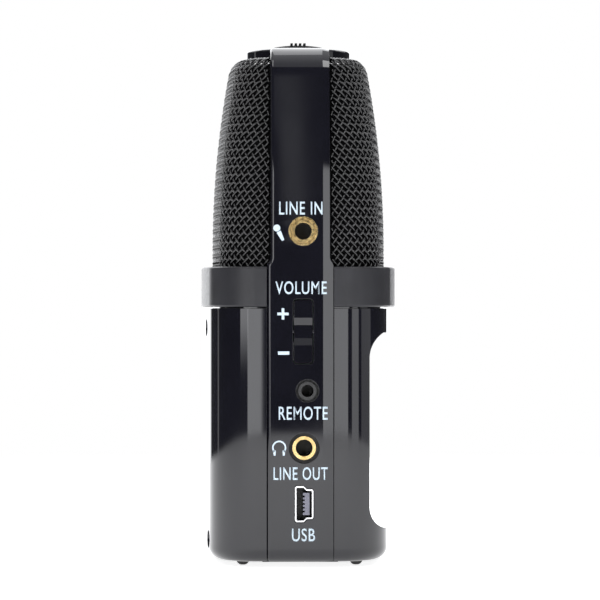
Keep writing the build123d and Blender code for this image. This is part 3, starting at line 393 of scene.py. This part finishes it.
class Row:
    """Half of the grille's outline at one height, measured from the middle of the face."""

    def __init__(self, outline, z):
        self.points = [Vector((point.x, point.y, z)) for point in outline]
        self.lengths = [0.0]
        for first, second in zip(self.points, self.points[1:]):
            self.lengths.append(self.lengths[-1] + (second - first).length)
        self.total = self.lengths[-1]

    def at(self, distance):
        index = min(bisect.bisect_right(self.lengths, distance), len(self.lengths) - 1)
        low, high = self.lengths[index - 1], self.lengths[index]
        return self.points[index - 1].lerp(self.points[index], (distance - low) / (high - low))


class GrilleForm:
    """The grille's outer face, set in a little.

    Places on it are a distance across from the middle and a distance up from its base.
    """

    def __init__(self, inset, count=70):
        self.inset = inset
        self.straight = SHOULDER_Z - SHOULDER_UP - GRILLE_LOW.z
        self.quarter = math.pi / 4 * (SHOULDER_IN + SHOULDER_UP)
        self.side = self.straight + self.quarter
        self.count = count
        self.rows = [self.row(self.side * i / count) for i in range(count + 1)]
        top = TOP_HALF
        crown = quarter_outline(top, top, TOP_CROWN, TOP_CROWN, TOP_CORNER)
        self.crown = Row(crown, GRILLE_HIGH.z - inset)

    def row(self, run):
        """The outline at a distance up the face; the last stretch is the elliptic shoulder."""
        angle = max(0.0, run - self.straight) / self.quarter * math.pi / 2
        z = GRILLE_LOW.z + min(run, self.straight) + SHOULDER_UP * math.sin(angle)
        inset = self.inset + SHOULDER_IN * (1 - math.cos(angle))
        half_x = GRILLE_HALF_X - lean(z, SIDE_BEND_START, SIDE_BEND_RADIUS) - inset
        half_y = GRILLE_HALF_Y - lean(z, FACE_BEND_START, FACE_BEND_RADIUS) - inset
        outline = quarter_outline(half_x, half_y, SIDE_CROWN, FACE_CROWN, CORNER - inset)
        return Row(outline, z - self.inset * min(1.0, run / self.straight))

    def at(self, across, up):
        """A point of the face, or None beyond its ends."""
        distance = abs(across)
        if up < 0:
            return None
        if up <= self.side:
            place = up / self.side * self.count
            index = min(int(place), self.count - 1)
            low, high = self.rows[index], self.rows[index + 1]
            if distance > high.total:
                return None
            point = low.at(distance).lerp(high.at(distance), place - index)
        else:
            share = distance / self.rows[-1].total
            if share > 1:
                return None
            start = self.rows[-1].at(distance)
            end = self.crown.at(share * self.crown.total)
            part = (up - self.side) / (end - start).length
            if part > 1:
                return None
            point = start.lerp(end, part)
        if across < 0:
            point.x = -point.x
        return point

    def normal(self, across, up):
        """Outward direction at a point of the face."""
        step = 0.3 * MM
        here = self.at(across, up)
        along = self.at(across + step, up) or here
        back = self.at(across - step, up) or here
        above = self.at(across, up + step) or here
        below = self.at(across, up - step) or here
        return (along - back).cross(above - below).normalized() * -1


def mesh_piece(name, vertices, faces, material):
    data = bpy.data.meshes.new(name)
    data.from_pydata(vertices, [], faces)
    data.update()
    data.polygons.foreach_set("use_smooth", [True] * len(data.polygons))
    data.materials.append(material)
    obj = bpy.data.objects.new(name, data)
    bpy.context.scene.collection.objects.link(obj)
    return obj


def mirrored(vertices, faces):
    """The same mesh on the display side."""
    return [Vector((v.x, -v.y, v.z)) for v in vertices], [tuple(reversed(face)) for face in faces]


# ---------------------------------------------------------------- woven wire
WEAVE_ACROSS = 1.58 * MM
WEAVE_UP = (1.68 * MM, 2.0 * MM)
WIRE_RADIUS = 0.25 * MM
WIRE_SIDES = 6
WEAVE_LIFT = 0.20 * MM
STEPS_PER_CROSSING = 4
SHORTEST_PATH = 3
EDGE_ROOM = 0.12 * MM


def weave_place(first, second):
    """Where wire numbers of the two sets meet, as distances across and up."""
    up = (first - second) / (1 / WEAVE_UP[0] + 1 / WEAVE_UP[1])
    return WEAVE_ACROSS * (first - up / WEAVE_UP[0]), up


def wire_tube(path, vertices, faces):
    """Adds one closed-ended tube along a path of points and surface normals."""
    first = len(vertices)
    count = len(path)
    angles = [2 * math.pi * k / WIRE_SIDES for k in range(WIRE_SIDES)]
    for i, (point, normal) in enumerate(path):
        tangent = path[min(i + 1, count - 1)][0] - path[max(i - 1, 0)][0]
        side = tangent.cross(normal).normalized()
        up = side.cross(tangent).normalized()
        vertices += [point + WIRE_RADIUS * (math.cos(a) * side + math.sin(a) * up) for a in angles]
    for i in range(count - 1):
        ring = first + i * WIRE_SIDES
        for k in range(WIRE_SIDES):
            a, b = ring + k, ring + (k + 1) % WIRE_SIDES
            faces.append((a, a + WIRE_SIDES, b + WIRE_SIDES, b))
    faces.append(tuple(first + k for k in range(WIRE_SIDES)))
    last = first + (count - 1) * WIRE_SIDES
    faces.append(tuple(last + k for k in reversed(range(WIRE_SIDES))))


def wire_paths(form, rising):
    """Paths of one set of wires over a grille half; each passes over and under the other set in turn."""
    reach = int(form.rows[0].total / WEAVE_ACROSS + form.side / WEAVE_UP[0]) + 14
    sign = 1 if rising else -1
    for wire in range(-reach, reach + 1):
        path = []
        for step in range(-reach * STEPS_PER_CROSSING, reach * STEPS_PER_CROSSING + 1):
            other = step / STEPS_PER_CROSSING
            across, up = weave_place(wire, other) if rising else weave_place(other, wire)
            point = form.at(across, up)
            if point is not None and point.y > GRILLE_EDGE_Y + EDGE_ROOM:
                normal = form.normal(across, up)
                lift = sign * WEAVE_LIFT * math.cos(math.pi * (wire + other))
                path.append((point + normal * lift, normal))
            else:
                if len(path) > SHORTEST_PATH:
                    yield path
                path = []
        if len(path) > SHORTEST_PATH:
            yield path


def grilles():
    form = GrilleForm(WIRE_RADIUS + WEAVE_LIFT + 0.02 * MM)
    for rising in (True, False):
        vertices, faces = [], []
        for path in wire_paths(form, rising):
            wire_tube(path, vertices, faces)
        tag = "rising" if rising else "falling"
        rear = mesh_piece(f"rear_grille_{tag}_wires", vertices, faces, MATERIALS["wire_mesh"])
        front = mesh_piece(f"front_grille_{tag}_wires", *mirrored(vertices, faces), MATERIALS["wire_mesh"])
        for piece, node in ((rear, "rear_grille"), (front, "front_grille")):
            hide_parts(node)
            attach(piece, "body")


# ---------------------------------------------------------------- foam behind the wires
FOAM_INSET = 1.3 * MM
FOAM_THICKNESS = 1.0 * MM
FOAM_LUMP = 0.12 * MM
FOAM_EDGE_Y = -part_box("front_foam")[1].y
SWITCH_ROOM = 6.4 * MM
FOAM_STEP = 0.7 * MM


def foam_sheet():
    """Closed soft sheet behind one grille half, with a lumpy open-cell skin."""
    form = GrilleForm(FOAM_INSET)
    random.seed(7)
    columns = int(form.rows[0].total / FOAM_STEP)
    rows = int((form.side + GRILLE_HALF_X) / FOAM_STEP)
    outer, inner, grid = [], [], {}
    for i in range(-columns, columns + 1):
        for j in range(rows):
            across, up = i * FOAM_STEP, j * FOAM_STEP
            point = form.at(across, up)
            if point is None or point.y < FOAM_EDGE_Y + 0.1 * MM:
                continue
            if point.z > SHOULDER_Z - 2 * MM and math.hypot(point.x, point.y) < SWITCH_ROOM:
                continue
            normal = form.normal(across, up)
            grid[i, j] = len(outer)
            outer.append(point - normal * random.uniform(0.0, FOAM_LUMP))
            inner.append(point - normal * FOAM_THICKNESS)
    quads = []
    for i, j in grid:
        corners = [(i, j), (i, j + 1), (i + 1, j + 1), (i + 1, j)]
        if all(corner in grid for corner in corners):
            quads.append([grid[corner] for corner in corners])
    return close_sheet(outer, inner, quads)


def close_sheet(outer, inner, quads):
    """Joins an outer and an inner layer of points along the sheet's free edges."""
    shift = len(outer)
    edges = {(quad[k], quad[(k + 1) % 4]) for quad in quads for k in range(4)}
    faces = [tuple(quad) for quad in quads]
    faces += [tuple(index + shift for index in reversed(quad)) for quad in quads]
    faces += [(b, a, a + shift, b + shift) for a, b in sorted(edges) if (b, a) not in edges]
    used = sorted({index for face in faces for index in face})
    place = {index: k for k, index in enumerate(used)}
    points = outer + inner
    return [points[index] for index in used], [tuple(place[index] for index in face) for face in faces]


def foams():
    vertices, faces = foam_sheet()
    rear = mesh_piece("rear_foam_sheet", vertices, faces, MATERIALS["foam"])
    front = mesh_piece("front_foam_sheet", *mirrored(vertices, faces), MATERIALS["foam"])
    for piece, node in ((rear, "rear_foam"), (front, "front_foam")):
        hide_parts(node)
        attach(piece, "body")


# ---------------------------------------------------------------- printed labels on the left spine
INK_LIFT = 0.012 * MM
INK_DEPTH = 0.02 * MM


def spine_face(z):
    """X of the left spine's outer face at a height."""
    return SPINE_X + lean(z, SIDE_BEND_START, SIDE_BEND_RADIUS)


def lay_on_spine(obj, y, z):
    """Turns a flat drawing in XY so that it lies on the left spine, read from -X, and follows its lean."""
    for vertex in obj.data.vertices:
        flat = vertex.co.copy()
        height = z + flat.y
        vertex.co = Vector((spine_face(height) - INK_LIFT - flat.z, y - flat.x, height))
    obj.data.update()


def label(name, text, y, z, width, height):
    """Bold condensed lettering of a stated width and capital height."""
    curve = bpy.data.curves.new(name, "FONT")
    curve.body = text
    curve.align_x = "CENTER"
    curve.align_y = "CENTER"
    curve.size = 1.0
    curve.offset = 0.008
    curve.space_character = 1.10
    curve.resolution_u = 6
    temporary = bpy.data.objects.new(name + "_text", curve)
    bpy.context.scene.collection.objects.link(temporary)
    bpy.context.view_layer.update()
    evaluated = temporary.evaluated_get(bpy.context.evaluated_depsgraph_get())
    data = bpy.data.meshes.new_from_object(evaluated)
    bpy.data.objects.remove(temporary)
    data.name = name
    xs = [v.co.x for v in data.vertices]
    ys = [v.co.y for v in data.vertices]
    middle = Vector(((min(xs) + max(xs)) / 2, (min(ys) + max(ys)) / 2, 0))
    scale = Vector((width / (max(xs) - min(xs)), height / (max(ys) - min(ys)), 1))
    for v in data.vertices:
        v.co = Vector(((v.co.x - middle.x) * scale.x, (v.co.y - middle.y) * scale.y, 0))
    finish_label(name, data, y, z)


def finish_label(name, data, y, z):
    data.materials.clear()
    data.materials.append(LABEL_INK)
    obj = bpy.data.objects.new(name, data)
    bpy.context.scene.collection.objects.link(obj)
    solid = bmesh.new()
    solid.from_mesh(data)
    result = bmesh.ops.extrude_face_region(solid, geom=solid.faces[:])
    moved = [g for g in result["geom"] if isinstance(g, bmesh.types.BMVert)]
    bmesh.ops.translate(solid, verts=moved, vec=(0, 0, INK_DEPTH))
    bmesh.ops.recalc_face_normals(solid, faces=solid.faces)
    solid.to_mesh(data)
    solid.free()
    lay_on_spine(obj, y, z)
    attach(obj, "body")


def flat_shape(name, outlines, y, z):
    """A printed symbol from closed outlines of points in millimetres."""
    data = bpy.data.meshes.new(name)
    flat = bmesh.new()
    for outline in outlines:
        corners = [flat.verts.new((x * MM, h * MM, 0)) for x, h in outline]
        flat.faces.new(corners)
    flat.to_mesh(data)
    flat.free()
    finish_label(name, data, y, z)


def bar(half_x, half_h):
    return [(-half_x, -half_h), (half_x, -half_h), (half_x, half_h), (-half_x, half_h)]


def plus_sign():
    arm, stroke = 1.2, 0.28
    outline = [
        (-arm, -stroke), (-stroke, -stroke), (-stroke, -arm),
        (stroke, -arm), (stroke, -stroke), (arm, -stroke),
        (arm, stroke), (stroke, stroke), (stroke, arm),
        (-stroke, arm), (-stroke, stroke), (-arm, stroke),
    ]
    flat_shape("label_plus", [outline], 3.7 * MM, 54.05 * MM)


def minus_sign():
    flat_shape("label_minus", [bar(1.2, 0.35)], 3.55 * MM, 45.75 * MM)


def turned(points, degrees, x, h):
    """Flat points turned about the origin and then moved to x, h."""
    cos, sin = math.cos(math.radians(degrees)), math.sin(math.radians(degrees))
    return [(x + i * cos - j * sin, h + i * sin + j * cos) for i, j in points]


def disc(radius, count=28):
    return [(radius * math.cos(2 * math.pi * i / count), radius * math.sin(2 * math.pi * i / count))
            for i in range(count)]


def microphone_symbol():
    head = turned(disc(0.74), 0, -0.55, 1.05)
    handle = turned([(-0.50, -0.85), (-0.28, -2.95), (0.28, -2.95), (0.50, -0.85)], 27, -0.55, 1.05)
    flat_shape("label_microphone", [head, handle], 4.45 * MM, 71.2 * MM)


def headphone_symbol():
    outer, inner = 1.5, 1.17
    start, end = math.radians(-40), math.radians(220)
    count = 30
    arc = [(start + (end - start) * i / count) for i in range(count + 1)]
    band = [(outer * math.cos(a), outer * math.sin(a)) for a in arc]
    band += [(inner * math.cos(a), inner * math.sin(a)) for a in reversed(arc)]
    left = [(-1.28, -0.55), (-0.72, -0.62), (-0.78, -1.72), (-1.18, -1.68)]
    right = [(-x, h) for x, h in reversed(left)]
    flat_shape("label_headphones", [band, left, right], 4.5 * MM, 25.7 * MM)


CAPITAL_HEIGHT = 2.75 * MM


def labels():
    label("label_line_in", "LINE IN", -0.1 * MM, 76.5 * MM, 9.2 * MM, CAPITAL_HEIGHT)
    label("label_volume", "VOLUME", -0.15 * MM, 59.6 * MM, 10.9 * MM, CAPITAL_HEIGHT)
    label("label_remote", "REMOTE", -0.6 * MM, 33.0 * MM, 10.4 * MM, 2.85 * MM)
    label("label_line_out", "LINE OUT", -0.05 * MM, 20.2 * MM, 11.5 * MM, CAPITAL_HEIGHT)
    label("label_data_port", "USB", -0.65 * MM, 7.2 * MM, 4.9 * MM, CAPITAL_HEIGHT)
    plus_sign()
    minus_sign()
    microphone_symbol()
    headphone_symbol()


# ---------------------------------------------------------------- studio
CAMERA_DISTANCE = 0.705
CAMERA_AZIMUTH = math.radians(-91.0)
CAMERA_HEIGHT = 0.057
CAMERA_LENS = 190
CAMERA_SENSOR = 36
FLOOR_RADIUS = 0.60
FLOOR_MIDDLE_X = -0.15
FLOOR_FADE = 0.06
PANEL_HEIGHTS = (-3.0, 16.0)
WALL_FOOT = (-12.0, -6.0)
BOX_DISTANCE = 0.85


def soft_box(name, azimuth, elevation, distance, width, height, power, glossy=True):
    """An area light; its azimuth is 0 on the camera's side and grows towards +Y."""
    a, e = math.radians(azimuth), math.radians(elevation)
    away = Vector((-math.cos(a) * math.cos(e), math.sin(a) * math.cos(e), math.sin(e)))
    light = bpy.data.lights.new(name, "AREA")
    light.shape = "RECTANGLE"
    light.size = width
    light.size_y = height
    light.energy = power
    obj = bpy.data.objects.new(name, light)
    obj.location = Vector((0, 0, CAMERA_HEIGHT)) + away * distance
    obj.rotation_euler = away.to_track_quat("Z", "Y").to_euler()
    obj.visible_camera = False
    obj.visible_glossy = glossy
    bpy.context.scene.collection.objects.link(obj)


class Sky:
    """Brightness of the room around the object, by direction in degrees."""

    def __init__(self):
        world = bpy.data.worlds.new("room")
        bpy.context.scene.world = world
        world.use_nodes = True
        self.tree = world.node_tree
        self.background = self.tree.nodes["Background"]
        split = self.tree.nodes.new("ShaderNodeSeparateXYZ")
        coords = self.tree.nodes.new("ShaderNodeTexCoord")
        self.tree.links.new(coords.outputs["Generated"], split.inputs["Vector"])
        toward = self.math("MULTIPLY", split.outputs["X"], -1.0)
        degrees = 180 / math.pi
        self.azimuth = self.math("MULTIPLY", self.math("ARCTAN2", split.outputs["Y"], toward), degrees)
        self.elevation = self.math("MULTIPLY", self.math("ARCSINE", split.outputs["Z"]), degrees)
        self.total = None

    def math(self, operation, first, second=None):
        made = self.tree.nodes.new("ShaderNodeMath")
        made.operation = operation
        for socket, value in zip(made.inputs, (first, second)):
            if value is None:
                continue
            if isinstance(value, bpy.types.NodeSocket):
                self.tree.links.new(value, socket)
            else:
                socket.default_value = value
        return made.outputs["Value"]

    def rise(self, value, start, end):
        """0 below start and 1 above end, with a smooth change between."""
        made = self.tree.nodes.new("ShaderNodeMapRange")
        made.interpolation_type = "SMOOTHSTEP"
        made.inputs["From Min"].default_value = start
        made.inputs["From Max"].default_value = end
        self.tree.links.new(value, made.inputs["Value"])
        return made.outputs["Result"]

    def between(self, value, low, high, soft):
        up = self.rise(value, low - soft, low + soft)
        down = self.rise(value, high - soft, high + soft)
        return self.math("SUBTRACT", up, down)

    def add(self, brightness, *factors):
        part = factors[0]
        for factor in factors[1:]:
            part = self.math("MULTIPLY", part, factor)
        part = self.math("MULTIPLY", part, brightness)
        self.total = part if self.total is None else self.math("ADD", self.total, part)

    def panel(self, brightness, azimuths, elevations, soft=0.6):
        """A bright panel between two azimuths and two elevations."""
        self.add(brightness, self.between(self.azimuth, *azimuths, soft),
                 self.between(self.elevation, *elevations, soft))

    def finish(self, tint):
        """Shows the sum to everything but the camera, which sees plain white."""
        path = self.tree.nodes.new("ShaderNodeLightPath")
        mix = self.tree.nodes.new("ShaderNodeMix")
        mix.data_type = "RGBA"
        first, second = [i for i in mix.inputs if i.type == "RGBA"]
        first.default_value = (*tint, 1)
        second.default_value = (1, 1, 1, 1)
        self.tree.links.new(path.outputs["Is Camera Ray"], mix.inputs["Factor"])
        mixed = [o for o in mix.outputs if o.type == "RGBA"][0]
        self.tree.links.new(mixed, self.background.inputs["Color"])
        unseen = self.math("SUBTRACT", 1.0, path.outputs["Is Camera Ray"])
        hidden = self.math("MULTIPLY", self.total, unseen)
        self.tree.links.new(self.math("ADD", hidden, path.outputs["Is Camera Ray"]),
                            self.background.inputs["Strength"])


def room():
    """Dark room with white panels beside the camera, white walls behind the object and a bright ceiling."""
    sky = Sky()
    sky.add(0.10, sky.rise(sky.elevation, -90.0, -89.0))
    sky.panel(3.9, (9.0, 29.0), PANEL_HEIGHTS)
    sky.panel(3.9, (28.0, 46.0), (-0.8, 16.0))
    sky.panel(3.4, (-26.0, -8.0), PANEL_HEIGHTS)
    sky.panel(2.2, (-51.0, -35.0), PANEL_HEIGHTS)
    sky.panel(0.9, (-83.0, -58.0), PANEL_HEIGHTS)
    sky.panel(1.0, (108.0, 113.0), PANEL_HEIGHTS)
    sky.panel(0.55, (-1.15, -0.65), (4.0, 31.0), 0.12)
    sky.add(2.6, sky.rise(sky.azimuth, 146.0, 150.0), sky.rise(sky.elevation, *WALL_FOOT))
    sky.add(2.6, sky.rise(sky.math("MULTIPLY", sky.azimuth, -1.0), 162.0, 165.0),
            sky.rise(sky.elevation, *WALL_FOOT))
    sky.add(0.65, sky.rise(sky.elevation, 32.0, 33.5))
    sky.add(0.9, sky.rise(sky.elevation, 35.0, 90.0))
    sky.finish((0.97, 0.98, 1.0))


def floor():
    """Pale seamless paper that ends short of the camera."""
    sheet = bmesh.new()
    bmesh.ops.create_circle(sheet, cap_ends=True, segments=96, radius=FLOOR_RADIUS,
                            matrix=Matrix.Translation((FLOOR_MIDDLE_X, 0, 0)))
    data = bpy.data.meshes.new("floor")
    sheet.to_mesh(data)
    sheet.free()
    s = Shader("floor_paper")
    away = s.node("ShaderNodeVectorMath", operation="DISTANCE")
    s.link(s.coords, away.inputs[0])
    away.inputs[1].default_value = (FLOOR_MIDDLE_X, 0, 0)
    faded = s.span(away.outputs["Value"], 1, 0, FLOOR_RADIUS - FLOOR_FADE, FLOOR_RADIUS)
    s.link(faded, s.bsdf.inputs["Alpha"])
    s.paint(s.mix(s.span(s.noise(20), 0, 1), (0.88, 0.88, 0.89), (0.92, 0.92, 0.92)))
    s.shine(s.span(s.noise(80), 0.8, 0.9))
    s.set(Emission_Color=(1, 1, 1, 1), Emission_Strength=0.85)
    s.bump(s.noise(800), 0.0001, 0.1)
    data.materials.append(s.material)
    obj = bpy.data.objects.new("floor", data)
    bpy.context.scene.collection.objects.link(obj)


def camera():
    made = bpy.data.cameras.new("camera")
    made.lens = CAMERA_LENS
    made.sensor_width = CAMERA_SENSOR
    made.clip_start = 0.01
    made.clip_end = 20
    obj = bpy.data.objects.new("camera", made)
    aim = Vector((0, -0.0005, CAMERA_HEIGHT))
    back = Vector((math.sin(CAMERA_AZIMUTH), -math.cos(CAMERA_AZIMUTH), 0))
    obj.location = aim + back * CAMERA_DISTANCE
    obj.rotation_euler = back.to_track_quat("Z", "Y").to_euler()
    bpy.context.scene.collection.objects.link(obj)
    bpy.context.scene.camera = obj


def studio():
    room()
    floor()
    soft_box("near_rear_box", 38, 50, BOX_DISTANCE, 0.25, 0.30, 1.6)
    soft_box("near_front_box", -38, 50, BOX_DISTANCE, 0.25, 0.30, 1.6)
    soft_box("far_rear_box", 135, 34, BOX_DISTANCE, 0.45, 0.35, 1.2)
    soft_box("far_front_box", -130, 34, BOX_DISTANCE, 0.45, 0.35, 1.2)
    soft_box("fill", 2, 24, 0.62, 0.5, 0.3, 1.2, glossy=False)


dress_cad_nodes()
grilles()
foams()
labels()
studio()
camera()
bpy.context.scene.view_settings.view_transform = "Standard"
